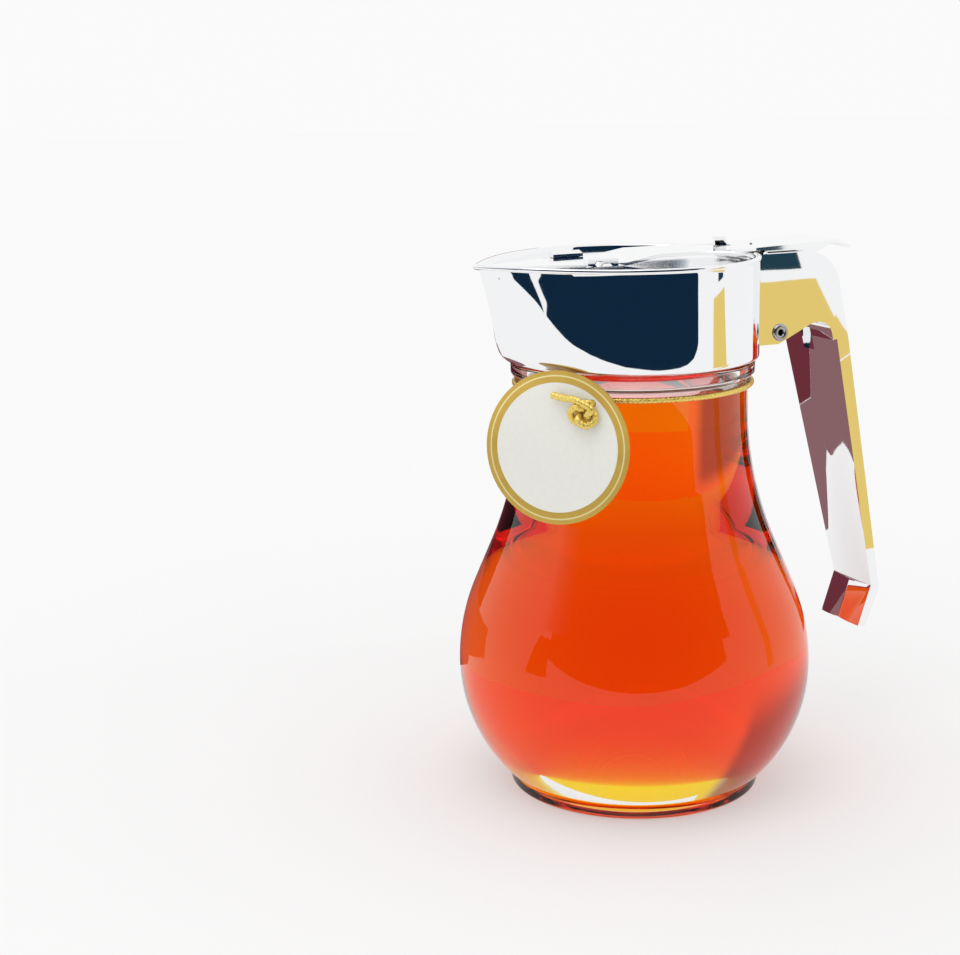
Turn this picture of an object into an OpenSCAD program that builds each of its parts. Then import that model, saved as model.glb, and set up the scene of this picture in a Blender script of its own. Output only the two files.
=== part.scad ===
// Honey dispenser: a glass jar filled with honey, closed by a chromed pouring
// head. A sprung slide on top of the head uncovers the port at the spout when
// the thumb pulls it back over the handle.
// The jar stands on z = 0 with its axis on Z, the spout points to -X and the
// handle to +X. The X-Z plane is the plane of symmetry.

/* [Jar] */
// Outer radius of the foot ring
foot_r = 32.2; // [31:0.1:33]
// Height of the foot ring
foot_h = 3.4; // [2.6:0.2:4.2]
// Largest outer radius of the bulb
bulb_r = 45.3; // [43:0.1:47]
// Height of the largest radius of the bulb
bulb_z = 32.3; // [30:0.1:35]
// Radius of the arc below the bulb's widest line
belly_arc = 39.5; // [38:0.5:42]
// Radius of the arc above the bulb's widest line
crown_arc = 52; // [48:0.5:56]
// Lean of the straight flank of the jar, in degrees
flank_lean = 23; // [21:0.5:24]
// Outer radius of the neck
neck_r = 29.3; // [28.8:0.1:29.6]
// Height at which the straight neck begins
neck_z = 98.9; // [97:0.1:101]
// Wall of the jar
glass_wall = 2.6; // [2:0.1:3]
// Thickness of the jar's bottom
glass_floor = 10.6; // [9:0.2:12]
// Underside of the bead under the cap
bead_z = 107.3; // [106.9:0.1:107.6]
// Height of the bead
bead_h = 3.8; // [3.4:0.1:4]
// Outer radius of the bead
bead_r = 31.1; // [30.8:0.1:31.4]
// Outer radius of the mouth above the bead
mouth_r = 28.6; // [28.2:0.1:28.7]
// Height of the mouth's lip
mouth_z = 121.5; // [120:0.5:122.5]
// Height of the honey's surface
honey_z = 105.2; // [95:0.2:106]

/* [Head] */
// Height of the head's lower edge
skirt_z = 111.4; // [111.3:0.1:111.8]
// Height of the head's rim
rim_z = 137.2; // [135.5:0.1:138.5]
// Outer radius of the round part of the head
head_r = 32.2; // [31.8:0.1:32.6]
// Reach of the spout's tip from the jar's axis
spout_reach = 43.8; // [42.5:0.1:45.5]
// Wall of the head
head_wall = 1.5; // [1.2:0.1:1.7]
// Depth of the deck below the rim
deck_drop = 1.4; // [1.2:0.1:1.6]
// Thickness of the deck plate
deck_t = 1.4; // [1:0.1:1.8]
// Length of the pour port
port_len = 9; // [7:0.5:9.5]
// Width of the pour port at its rear end
port_w = 7.2; // [6:0.2:8]

/* [Slide] */
// Thickness of the slide's sheet
sheet_t = 0.8; // [0.6:0.1:0.9]
// Width of the slide
slide_w = 19.6; // [18.4:0.2:19.8]
// Width of the thumb plate
thumb_w = 18.2; // [17:0.2:18.4]
// Rise of the thumb plate, in degrees
thumb_rise = 2; // [1:0.2:5]
// Reach of the thumb plate's crest from the jar's axis
thumb_reach = 55.6; // [54:0.2:57]
// Travel of the slide
slide_travel = 10; // [7:0.5:10]

/* [Handle] */
// Width of the handle at the head
handle_w = 25.6; // [25:0.2:26.4]
// Width of the handle at its lower end
handle_end_w = 17.4; // [16:0.2:20]
// Height of the handle's lower end
handle_end_z = 33.2; // [28:0.2:40]
// Reach of the handle's outer corner at its lower end
handle_reach = 70.8; // [67:0.2:74]
// Thickness of the arm at its lower end
arm_t = 2.7; // [2.4:0.1:3.4]
// Height of the ridge along the arm's inner face
ridge_h = 0.8; // [0.4:0.1:1]
// Thickness of the handle's cheeks
cheek_t = 2.2; // [2:0.1:2.4]
// Distance of the spring rivet from the jar's axis
rivet_x = 36; // [35.8:0.1:36.3]
// Height of the spring rivet
rivet_z = 116.5; // [116.4:0.1:117]

/* [Spring] */
// Diameter of the spring wire
wire_d = 0.8; // [0.6:0.1:0.8]
// Mean radius of the spring's coil
coil_r = 2.3; // [2.2:0.05:2.35]
// Number of turns of the coil
coil_turns = 5; // [4:1:5]
// Pitch of the coil
coil_pitch = 1.3; // [1.25:0.01:1.32]

/* [Tag and cord] */
// Diameter of the round tag
tag_d = 37.3; // [34:0.1:38]
// Thickness of the tag
tag_t = 0.6; // [0.4:0.1:0.7]
// Diameter of the gold cord
cord_d = 1.5; // [1.2:0.1:1.6]
// Diameter of the cord where it is knotted before the tag
knot_d = 1.6; // [1.2:0.1:1.7]
// Height of the cord round the neck
cord_z = 105.2; // [104.8:0.1:105.6]

/* [Hidden] */
$fn = 96;

seat_gap = 0.3;       // between pieces that move past each other
fit_gap = 0.05;       // between a pin and its hole
lie_gap = 0.02;       // between curved faces that lie against each other
fill_gap = 0.1;       // between the honey and the glass
slide_gap = 0.1;      // between the slide and what it runs on
chrome = "gainsboro";

// ---------------------------------------------------------------- outlines

function unit(v) = v / norm(v);

// Points of an arc round centre c from angle a to angle b
function arc(c, r, a, b, n) =
    [for (i = [0:n]) let (t = a + (b - a) * i / n) c + r * [cos(t), sin(t)]];

// Outline with rounded corners, each corner given as [x, y, radius]
function rounded(corners, n = 8) =
    let (count = len(corners))
    [for (i = [0:count - 1])
        let (p = [corners[i][0], corners[i][1]],
            r = corners[i][2],
            back = corners[(i + count - 1) % count],
            next = corners[(i + 1) % count],
            u = unit([back[0], back[1]] - p),
            v = unit([next[0], next[1]] - p),
            half = acos(max(-1, min(1, u * v))) / 2,
            reach = r / max(tan(half), 0.001),
            centre = p + unit(u + v) * r / sin(half),
            from = p + u * reach - centre,
            to = p + v * reach - centre,
            a = atan2(from[1], from[0]),
            turn = atan2(to[1], to[0]) - a,
            sweep = turn > 180 ? turn - 360 : turn < -180 ? turn + 360 : turn)
        each r == 0 ? [p] : arc(centre, r, a, a + sweep, n)];

// Point at t on the cubic curve through four control points
function cubic(p, t) = pow(1 - t, 3) * p[0] + 3 * t * pow(1 - t, 2) * p[1]
    + 3 * t * t * (1 - t) * p[2] + pow(t, 3) * p[3];

// Closed band lofted through equal rings of points, the last joined to the first
module ring_loft(rings) {
    count = len(rings[0]);
    rows = len(rings);
    polyhedron(
        points = [for (ring = rings) each ring],
        faces = [for (k = [0:rows - 1], i = [0:count - 1])
            let (a = k * count + i,
                b = k * count + (i + 1) % count,
                c = ((k + 1) % rows) * count + (i + 1) % count,
                d = ((k + 1) % rows) * count + i)
            each [[a, b, c], [a, c, d]]]);
}

// Round tube of radius r swept along points, with sides round it
module tube(path, r, sides) {
    last = len(path) - 1;
    heading = [for (i = [0:last])
        unit(path[min(i + 1, last)] - path[max(i - 1, 0)])];
    start = abs(heading[0][2]) < 0.9 ? [0, 0, 1] : [1, 0, 0];
    normals = carried(heading, [unit(cross(cross(heading[0], start), heading[0]))]);
    points = [for (i = [0:last], j = [0:sides - 1])
        let (side = cross(heading[i], normals[i]), t = 360 * j / sides)
        path[i] + r * (cos(t) * normals[i] + sin(t) * side)];
    faces = concat(
        [[for (j = [sides - 1:-1:0]) j]],
        [for (i = [0:last - 1], j = [0:sides - 1])
            let (a = i * sides + j, b = i * sides + (j + 1) % sides)
            each [[a, b, b + sides], [a, b + sides, a + sides]]],
        [[for (j = [0:sides - 1]) last * sides + j]]);
    polyhedron(points = points, faces = [for (f = faces) [for (i = [len(f) - 1:-1:0]) f[i]]]);
}

// Normals carried along a path without twist, one for each heading
function carried(heading, found) =
    len(found) == len(heading) ? found
    : let (h = heading[len(found)], n = found[len(found) - 1])
        carried(heading, concat(found, [unit(n - (n * h) * h)]));

// Shape drawn in X and Z, made w wide across Y
module across(w) {
    translate([0, w / 2, 0])
        rotate([90, 0, 0])
            linear_extrude(height = w)
                children();
}

// ---------------------------------------------------------------- jar

flank_r = bulb_r - crown_arc * (1 - cos(flank_lean));
flank_z = bulb_z + crown_arc * sin(flank_lean);
// Radius of the hollow arc that leads the straight flank into the neck
shoulder_arc = (neck_z - flank_z - (flank_r - neck_r) / tan(flank_lean)) / tan(flank_lean / 2);
foot_round = 0.8;
foot_ring_w = 6;
punt_h = 1.6;
groove_r = bulb_r - belly_arc + sqrt(pow(belly_arc, 2) - pow(bulb_z - foot_h, 2));
mouth_round = 1.1;

// Side of the bulb, flank and neck, moved inwards by d, from height low up to
// the neck, as [radius, height]
function bulb_side(d, low) = concat(
    arc([bulb_r - belly_arc, bulb_z], belly_arc - d,
        -asin((bulb_z - low) / (belly_arc - d)), 0, 16),
    arc([bulb_r - crown_arc, bulb_z], crown_arc - d, 1, flank_lean, 10),
    arc([neck_r + shoulder_arc, neck_z], shoulder_arc + d, 180 + flank_lean, 180, 12));

module glass_jar() {
    inner_low = glass_floor + 0.6;
    color("peachpuff", 0.5)
        rotate_extrude($fn = 128)
            polygon(concat(
                [[0, punt_h], [foot_r - foot_ring_w - 1, punt_h], [foot_r - foot_ring_w, 0]],
                arc([foot_r - foot_round, foot_round], foot_round, -90, 0, 4),
                [[foot_r, foot_h - 0.6], [groove_r - 0.9, foot_h]],
                bulb_side(0, foot_h + 0.8),
                [[neck_r, bead_z - 0.6]],
                rounded([[neck_r + 0.2, bead_z, 0.1], [bead_r, bead_z, 1.3],
                    [bead_r, bead_z + bead_h, 1.1], [mouth_r, bead_z + bead_h, 0.1]], 5),
                arc([mouth_r - mouth_round, mouth_z - mouth_round], mouth_round, 0, 180, 8),
                [for (i = [len(bulb_side(glass_wall, inner_low)) - 1:-1:0])
                    bulb_side(glass_wall, inner_low)[i]],
                [[0, glass_floor]]));
}

module honey_fill() {
    inner_low = glass_floor + 0.6 + fill_gap;
    side = [for (p = bulb_side(glass_wall + fill_gap, inner_low)) if (p[1] < honey_z) p];
    color("orangered", 0.8)
        rotate_extrude($fn = 128)
            polygon(concat([[0, glass_floor + fill_gap]], side,
                [[side[len(side) - 1][0], honey_z], [0, honey_z]]));
}

// The gold cord lies round the neck under the bead
module neck_cord() {
    color("gold")
        translate([0, 0, cord_z])
            rotate_extrude($fn = 96)
                translate([neck_r + cord_d / 2 + lie_gap, 0])
                    circle(d = cord_d, $fn = 16);
}

// ---------------------------------------------------------------- head

seal_t = 1.5;
seal_z = mouth_z;
flange_z = seal_z + seal_t;
collar_r = head_r - head_wall - 0.15;
collar_low = skirt_z + 0.6;
deck_top = rim_z - deck_drop;
deck_low = deck_top - deck_t;
ledge_t = 1.2;
ledge_w = 1.7;
rim_lip = 0.5;
lip_h = 1.1;

// The rim seen from above: round at the rear, drawn out to the spout's tip
rim_side = 36;
rim_join = [-6, sqrt(pow(head_r, 2) - 36)];
rim_curve = [[-spout_reach, 0], [-spout_reach + 7.3, 11.6],
    rim_join - 19 * [rim_join[1], -rim_join[0]] / head_r, rim_join];
rim_blend = rim_side - 14;
rim_half = [for (i = [0:rim_side])
    i <= rim_blend ? cubic(rim_curve, i / rim_blend)
    : let (first = atan2(rim_curve[3][1], rim_curve[3][0]),
        a = first * (1 - (i - rim_blend) / (rim_side - rim_blend)))
        head_r * [cos(a), sin(a)]];
rim_outline = concat(rim_half, [for (i = [rim_side - 1:-1:1]) [rim_half[i][0], -rim_half[i][1]]]);

// Ring of the head at height z. The spout stands out by the share bulge of its
// reach at the rim, and the ring is drawn in by inset.
function head_ring(z, bulge, inset) =
    [for (p = rim_outline)
        let (r = norm(p), flow = unit(p), out = head_r + bulge * (r - head_r) - inset)
        [flow[0] * out, flow[1] * out, z]];

// Share of the spout's reach down its keel, as [height, share]
keel = [[skirt_z + 0.8, 0.16], [skirt_z + 2.3, 0.36], [skirt_z + 6, 0.5],
    [skirt_z + 11, 0.58], [skirt_z + 16, 0.67], [skirt_z + 21, 0.79], [rim_z - 1.6, 0.87]];

module head_shell() {
    inner = head_wall;
    ring_loft(concat(
        [head_ring(skirt_z, 0, 1.1)],
        [for (k = keel) head_ring(k[0], k[1], k[0] < skirt_z + 1 ? 0.35 : 0)],
        [head_ring(rim_z - lip_h, 0.97, -0.1), head_ring(rim_z - 0.4, 1, -rim_lip + 0.2),
            head_ring(rim_z, 1, 0.2), head_ring(rim_z, 1, inner - 0.3),
            head_ring(rim_z - 0.4, 1, inner), head_ring(deck_low, 0.93, inner),
            head_ring(deck_low, 0.93, inner + ledge_w),
            head_ring(deck_low - ledge_t, 0.9, inner + ledge_w),
            head_ring(deck_low - ledge_t - 1.6, 0.72, inner),
            head_ring(skirt_z + 16, 0.6, inner), head_ring(skirt_z + 11, 0.5, inner),
            head_ring(skirt_z + 6, 0.4, inner), head_ring(skirt_z + 2.8, 0.2, inner),
            head_ring(skirt_z + 1.2, 0, inner), head_ring(skirt_z, 0, inner)]));
}

screw_y = 6.5;
screw_z = 127;
screw_r = 1.5;
screw_head_r = 2.2;
screw_seat_x = 29.7;

module pour_head() {
    color(chrome)
        difference() {
            head_shell();
            for (side = [-1, 1])
                translate([screw_seat_x - 6, side * screw_y, screw_z])
                    rotate([0, 90, 0]) {
                        cylinder(r = screw_head_r + 0.15, h = 6, $fn = 32);
                        cylinder(r = screw_r + fit_gap, h = 12, $fn = 32);
                    }
        }
}

module neck_seal() {
    color("dimgray")
        translate([0, 0, seal_z])
            rotate_extrude()
                translate([mouth_r - 3.4, 0])
                    square([3.4, seal_t]);
}

// Ring inside the skirt that carries the thread and presses on the seal
module threaded_collar() {
    color("whitesmoke")
        rotate_extrude()
            polygon([[mouth_r + seat_gap, collar_low], [collar_r, collar_low],
                [collar_r, flange_z + 1.8], [mouth_r - 4.6, flange_z + 1.8],
                [mouth_r - 4.6, flange_z], [mouth_r + seat_gap, flange_z]]);
}

port_front = -spout_reach + 4.6;
port_rear = port_front + port_len;

module port_outline() {
    rear_r = port_w / 2;
    front_r = rear_r * 0.42;
    hull() {
        translate([port_front + front_r, 0])
            circle(r = front_r, $fn = 32);
        translate([port_rear - rear_r, 0])
            circle(r = rear_r, $fn = 32);
    }
}

guide_x = -13.9;
guide_len = 8.4;
guide_foot_y = slide_w / 2 + seat_gap;
guide_foot_w = 4.4;
guide_rivet_y = guide_foot_y + 2.7;
guide_rivet_r = 0.8;

module deck_plate() {
    inset = head_wall + fit_gap;
    color("silver")
        translate([0, 0, deck_low])
            difference() {
                linear_extrude(height = deck_t)
                    polygon([for (p = head_ring(0, 0.93, inset)) [p[0], p[1]]]);
                translate([0, 0, -1])
                    linear_extrude(height = deck_t + 2)
                        port_outline();
                for (side = [-1, 1])
                    translate([guide_x, side * guide_rivet_y, -1])
                        cylinder(r = guide_rivet_r + fit_gap, h = deck_t + 2, $fn = 32);
            }
}

blade_low = deck_top + slide_gap;
blade_top = blade_low + sheet_t;
guide_t = 0.8;

// Clip of bent sheet whose upper leaf holds one edge of the slide down
module guide(side) {
    leaf_y = slide_w / 2 - 1.5;
    leaf_z = blade_top + slide_gap;
    foot = guide_foot_y;
    color("silver")
        difference() {
            translate([guide_x - guide_len / 2, 0, 0])
                rotate([90, 0, 90])
                    linear_extrude(height = guide_len)
                        mirror([side < 0 ? 1 : 0, 0])
                            polygon([[foot, deck_top], [foot + guide_foot_w, deck_top],
                                [foot + guide_foot_w, deck_top + guide_t],
                                [foot + 0.9, deck_top + guide_t],
                                [foot + 0.9, leaf_z + 1.2], [foot + 0.3, leaf_z + 1.5],
                                [leaf_y, leaf_z + guide_t], [leaf_y, leaf_z],
                                [foot, leaf_z]]);
            translate([guide_x, side * guide_rivet_y, deck_top - 1])
                cylinder(r = guide_rivet_r + fit_gap, h = guide_t + 2, $fn = 32);
        }
}

module left_guide() {
    guide(-1);
}

module right_guide() {
    guide(1);
}

module guide_rivets() {
    color("silver")
        for (side = [-1, 1])
            translate([guide_x, side * guide_rivet_y, 0]) {
                translate([0, 0, deck_low - 0.5])
                    cylinder(r = guide_rivet_r, h = deck_t + guide_t + 0.6, $fn = 32);
                translate([0, 0, deck_top + guide_t])
                    cylinder(r1 = guide_rivet_r + 0.6, r2 = guide_rivet_r, h = 0.6, $fn = 32);
                translate([0, 0, deck_low - 0.5])
                    cylinder(r = guide_rivet_r + 0.5, h = 0.5, $fn = 32);
            }
}

// ---------------------------------------------------------------- handle

handle_top = rim_z - 0.4;
tongue_x = rivet_x + 0.5;       // face of the tongue that the spring pushes
spring_room = 4.9;      // behind the tongue at the end of its travel
cavity_front = head_r + 1.1;
cavity_back = tongue_x + sheet_t + slide_travel + spring_room;
kick_z = handle_end_z + 10.4;
kick_in = 4.4;
back_top_x = cavity_back + 0.05;
// Outward run of the arm for each mm of its drop
arm_lean = (handle_reach - back_top_x) / (handle_top - kick_z);
arch_z = rivet_z + 1.9;
arch_t = 4;             // thickness of the arm beside the arch
inner_kick = [handle_reach - arm_t, kick_z + 1];
kick_foot = [handle_reach - kick_in - 2.2, handle_end_z + 0.7];
inner_top = [handle_reach - arm_lean * (arch_z - kick_z) - arch_t, arch_z];
cheek_low = rivet_z - 3;
window_back = rivet_x + 4.5;
cavity_w = handle_w - 2 * cheek_t;
inner_lean = atan2(inner_kick[0] - inner_top[0], inner_top[1] - inner_kick[1]);
inner_len = norm(inner_kick - inner_top);
kick_lean = atan2(inner_kick[0] - kick_foot[0], inner_kick[1] - kick_foot[1]);
corner_run = ridge_h * tan((inner_lean + kick_lean) / 2);

module handle_side() {
    polygon(rounded([
        [head_r - 5, handle_top, 0],
        [back_top_x, handle_top, 10],
        [handle_reach, kick_z, 2],
        [handle_reach - kick_in, handle_end_z, 0.7],
        [kick_foot[0] - ridge_h, kick_foot[1], 0.5],
        [inner_kick[0] - ridge_h, inner_kick[1], 0],
        [inner_top[0] - ridge_h, inner_top[1], 4.2],
        [rivet_x + 10, arch_z, 6],
        [rivet_x - 0.4, cheek_low, 2.6],
        [head_r - 5, cheek_low, 0]]));
}

// The handle seen from the rear, tapering to its lower end
module handle_front() {
    top = handle_w / 2;
    low = handle_end_w / 2;
    polygon([[-top, handle_top + 5], [-top, cheek_low], [-low, kick_z], [-low, 0],
        [low, 0], [low, kick_z], [top, cheek_low], [top, handle_top + 5]]);
}

// The two wedges that leave a ridge along the middle of the inner face
module ridge_cut(length) {
    far = handle_w / 2;
    fall = ridge_h * far / (handle_end_w / 2);
    for (side = [0, 1])
        mirror([0, side, 0])
            linear_extrude(height = length)
                polygon([[-3, 0], [0, 0], [fall, far], [-3, far]]);
}

module handle_cavity() {
    polygon([[cavity_front, cheek_low + 1.6], [rivet_x + 3, cheek_low + 3.2],
        [rivet_x + 10, arch_z + 1.6], [inner_top[0] - 1.4, arch_z + 1.6],
        [inner_top[0] + 0.6, arch_z - 3], [inner_top[0] + 2.1, arch_z - 3],
        [cavity_back, 127], [cavity_back, handle_top + 5],
        [cavity_front, handle_top + 5]]);
}

hook_slot_w = 4.8;
hook_slot_h = 6;
hook_slot_depth = 4.2;
boss_len = 9.5;
screw_len = 7;
coil_w = coil_turns * coil_pitch + wire_d;

module handle() {
    boss_r = screw_r + 0.9;
    color(chrome)
        difference() {
            union() {
                intersection() {
                    across(handle_w)
                        handle_side();
                    rotate([90, 0, 90])
                        linear_extrude(height = handle_reach + 20)
                            handle_front();
                }
                for (side = [-1, 1])
                    translate([head_r - 0.3, side * (handle_w / 2 - 0.7), handle_top - 0.1])
                        sphere(r = 0.7, $fn = 24);
            }
            translate([0, 0, cheek_low - 1])
                cylinder(r = head_r + lie_gap, h = handle_top - cheek_low + 20);
            translate([0, 0, rim_z - lip_h - 0.5])
                cylinder(r = head_r + rim_lip, h = 10);
            difference() {
                across(cavity_w)
                    handle_cavity();
                for (side = [-1, 1])
                    translate([head_r - 4, side * screw_y, screw_z])
                        rotate([0, 90, 0])
                            cylinder(r = boss_r, h = boss_len, $fn = 32);
            }
            for (side = [-1, 1])
                translate([head_r - 4, side * screw_y, screw_z])
                    rotate([0, 90, 0])
                        cylinder(r = screw_r + fit_gap, h = boss_len - 0.9, $fn = 32);
            translate([0, handle_w / 2 + 1, rivet_z])
                translate([rivet_x, 0, 0])
                    rotate([90, 0, 0])
                        cylinder(r = rivet_r + fit_gap, h = handle_w + 2, $fn = 48);
            translate([cavity_front, -cavity_w / 2, cheek_low - 1])
                cube([window_back - cavity_front, cavity_w, 6]);
            translate([inner_kick[0] - ridge_h, 0, inner_kick[1]])
                rotate([0, -inner_lean, 0])
                    translate([0, 0, -corner_run])
                        ridge_cut(inner_len - 5);
            translate([kick_foot[0] - ridge_h, 0, kick_foot[1]])
                rotate([0, kick_lean, 0])
                    translate([0, 0, -2])
                        ridge_cut(norm(inner_kick - kick_foot) + 2 + corner_run);
            translate([inner_top[0] - 2, -hook_slot_w / 2, arch_z - 9])
                cube([hook_slot_depth, hook_slot_w, hook_slot_h]);
        }
}

module handle_screws() {
    color("silver")
        for (side = [-1, 1])
            translate([screw_seat_x, side * screw_y, screw_z])
                rotate([0, 90, 0]) {
                    cylinder(r = screw_r, h = screw_len, $fn = 32);
                    translate([0, 0, -1.4])
                        cylinder(r1 = screw_head_r - 0.6, r2 = screw_head_r, h = 1.4, $fn = 32);
                }
}

rivet_r = 1.3;
rivet_bore_r = 0.75;
rivet_head_r = 2.3;
rivet_head_h = 0.7;

// Hollow rivet with a rolled head against each cheek
module spring_rivet() {
    half = handle_w / 2;
    color(chrome)
        translate([rivet_x, half + rivet_head_h, rivet_z])
            rotate([90, 0, 0])
                rotate_extrude($fn = 48)
                    polygon([
                        [rivet_bore_r, 0.25], [rivet_bore_r + 0.3, 0], [rivet_head_r - 0.6, 0],
                        [rivet_head_r - 0.1, 0.3], [rivet_head_r, rivet_head_h],
                        [rivet_r, rivet_head_h], [rivet_r, rivet_head_h + handle_w],
                        [rivet_head_r, rivet_head_h + handle_w],
                        [rivet_head_r - 0.1, 2 * rivet_head_h - 0.3 + handle_w],
                        [rivet_head_r - 0.6, 2 * rivet_head_h + handle_w],
                        [rivet_bore_r + 0.3, 2 * rivet_head_h + handle_w],
                        [rivet_bore_r, 2 * rivet_head_h - 0.25 + handle_w]]);
}

// A sleeve on the rivet at each side keeps the coil in the middle
module rivet_spacers() {
    inner_y = coil_w / 2 + 0.3;
    outer_y = cavity_w / 2 - fit_gap;
    color("whitesmoke")
        for (side = [-1, 1])
            translate([rivet_x, side * (inner_y + outer_y) / 2, rivet_z])
                rotate([90, 0, 0])
                    difference() {
                        cylinder(r = rivet_head_r - 0.2, h = outer_y - inner_y, center = true,
                            $fn = 32);
                        cylinder(r = rivet_r + fit_gap, h = outer_y, center = true, $fn = 32);
                    }
}

// ---------------------------------------------------------------- spring

leg_lean = 22;          // of the moving leg from upright
leg_len = 16.5;
coil_half = coil_turns * coil_pitch / 2;
hook_y = hook_slot_w / 2 - 0.8;
hook_bend = [rivet_x + 6.2, rivet_z + 4.9];     // where the fixed leg turns down to the coil
hook_reach = hook_bend - [rivet_x, rivet_z];
hook_angle = atan2(hook_reach[1], hook_reach[0]) - acos(coil_r / norm(hook_reach));
lift_angle = 180 - leg_lean;
coil_sweep = 360 * coil_turns - (lift_angle - hook_angle);
coil_steps = 8 * coil_turns;
leg_foot = [rivet_x, rivet_z] + coil_r * [cos(lift_angle), sin(lift_angle)];

// Height at which the moving leg lies just behind the slide's tongue
tongue_low = leg_foot[1] + (tongue_x + sheet_t + seat_gap
    + wire_d / 2 / cos(leg_lean) - leg_foot[0]) / tan(leg_lean);

// Middle of the wire: hooked leg, coil wound round the rivet, moving leg
spring_path = concat(
    [[inner_top[0] + 1.1, -hook_y, arch_z - 6.6], [inner_top[0] + 1.3, -hook_y, arch_z - 2.8],
        [inner_top[0] + 0.1, -hook_y - 0.4, arch_z + 2.2],
        [inner_top[0] - 2.2, -coil_half, arch_z + 3.4], [hook_bend[0], -coil_half, hook_bend[1]]],
    [for (i = [0:coil_steps])
        let (a = hook_angle - coil_sweep * i / coil_steps)
        [rivet_x + coil_r * cos(a), -coil_half + 2 * coil_half * i / coil_steps,
            rivet_z + coil_r * sin(a)]],
    [for (s = [leg_len / 2, leg_len])
        [leg_foot[0] + s * sin(leg_lean), coil_half, leg_foot[1] + s * cos(leg_lean)]]);

spring_gap = min([for (i = [0:len(spring_path) - 1], j = [0:len(spring_path) - 1])
    if (j > i + 6) norm(spring_path[i] - spring_path[j])]) - wire_d;
echo(spring_gap = spring_gap);

module return_spring() {
    color("gray")
        tube(spring_path, wire_d / 2, 6);
}

// ---------------------------------------------------------------- slide

nose_x = -spout_reach + 4;
jog_x = guide_x + guide_len / 2 + 3.2;
jog_len = 9;
raised_low = rim_z + slide_gap + 0.1;
rise_x = head_r - 1.2;
crest_z = raised_low + (thumb_reach - rise_x) * tan(thumb_rise);
lip_run = 5.2;
lip_drop = 1.9;
flange_in = thumb_w / 2 - sheet_t;
flange_front = cavity_front + 0.5;
flange_low = handle_top - 6;
flange_back = thumb_reach - 1.4;
bracket_w = 7;

// Underside of the slide from nose to lip
slide_line = [[nose_x, blade_low], [jog_x, blade_low], [jog_x + jog_len, raised_low],
    [rise_x, raised_low], [thumb_reach, crest_z],
    [thumb_reach + lip_run, crest_z - lip_drop]];

// Height of the thumb plate's underside at x
function thumb_z(x) = raised_low + (x - rise_x) * tan(thumb_rise);

module slide_outline() {
    w = slide_w / 2;
    t = thumb_w / 2;
    back = thumb_reach + lip_run + 1;
    half = [[nose_x, 0.24 * w], [nose_x + 0.35 * w, 0.47 * w], [nose_x + 1.67 * w, 0.76 * w],
        [nose_x + 2.2 * w, w], [rise_x - 3, w], [rise_x, t], [thumb_reach - 1, t],
        [back, t - 1.6]];
    polygon(concat(half, [for (i = [len(half) - 1:-1:0]) [half[i][0], -half[i][1]]]));
}

lug_x = 27.6;
lug_y = 3;
lug_len = 3.6;
lug_h = 2.7;

module slide_plate() {
    color(chrome) {
        difference() {
            intersection() {
                across(slide_w + 2)
                    polygon(concat(slide_line,
                        [for (i = [len(slide_line) - 1:-1:0]) slide_line[i] + [0, sheet_t]]));
                translate([0, 0, deck_low])
                    linear_extrude(height = 20)
                        slide_outline();
            }
            translate([lug_x - lug_len / 2, lug_y - lug_h - 0.2, raised_low - 1])
                cube([lug_len, lug_h, sheet_t + 2]);
            translate([bracket_rivet_x, 0, raised_low - 1])
                cylinder(r = bracket_rivet_r + fit_gap, h = 6, $fn = 32);
        }
        translate([lug_x, lug_y, raised_low + sheet_t / 2])
            rotate([12, 0, 0])
                translate([0, 0, lug_h / 2])
                    rotate([90, 0, 0])
                        linear_extrude(height = sheet_t, center = true)
                            polygon([[-lug_len / 2, -lug_h / 2], [lug_len / 2, -lug_h / 2],
                                [lug_len / 2 - 0.8, lug_h / 2], [-lug_len / 2 - 0.6, lug_h / 2]]);
        for (side = [-1, 1])
            translate([0, side * (flange_in + sheet_t / 2), 0])
                across(sheet_t)
                    polygon([[flange_front, thumb_z(flange_front) + 0.2],
                        [flange_front, flange_low], [flange_front + 3.2, flange_low],
                        [flange_back, thumb_z(flange_back) + 0.2]]);
    }
}

bracket_rivet_x = rise_x + 4;
bracket_rivet_r = 0.6;

// Angle under the thumb plate whose tongue the spring presses on
module spring_bracket() {
    t = sheet_t;
    front = flange_front + 0.1;
    color("silver")
        difference() {
            across(bracket_w)
                polygon([[front, thumb_z(front)], [tongue_x + t, thumb_z(tongue_x + t)],
                    [tongue_x + t, tongue_low], [tongue_x, tongue_low],
                    [tongue_x, thumb_z(tongue_x) - t], [front, thumb_z(front) - t]]);
            translate([bracket_rivet_x, 0, raised_low - 4])
                cylinder(r = bracket_rivet_r + fit_gap, h = 8, $fn = 32);
        }
}

module bracket_rivet() {
    top = thumb_z(bracket_rivet_x) + sheet_t;
    color("silver")
        translate([bracket_rivet_x, 0, 0]) {
            translate([0, 0, top - 2 * sheet_t - 0.5])
                cylinder(r = bracket_rivet_r, h = 2 * sheet_t + 0.7, $fn = 32);
            translate([0, 0, top - 2 * sheet_t - 0.7])
                cylinder(r = bracket_rivet_r + 0.4, h = 0.5, $fn = 32);
        }
}

// ---------------------------------------------------------------- tag

tag_turn = 221;         // bearing of the tag's face round the jar
tag_tilt = 6;           // its lean back against the cap
tag_shift = -5.9;       // of its centre along the neck, seen from the front
tag_mid_z = 94;
tag_out = 35.4;         // of its middle from the jar's axis
hole_turn = 38;         // bearing of the hole on the tag, from upright
hole_reach = 14.2;
hole_r = 1.8;

// Places children in the plane of the tag, its face along +Z
module on_tag() {
    rotate([0, 0, tag_turn])
        translate([tag_out, tag_shift, tag_mid_z])
            rotate([0, 90 - tag_tilt, 0])
                rotate([0, 0, 90])
                    children();
}

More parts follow.
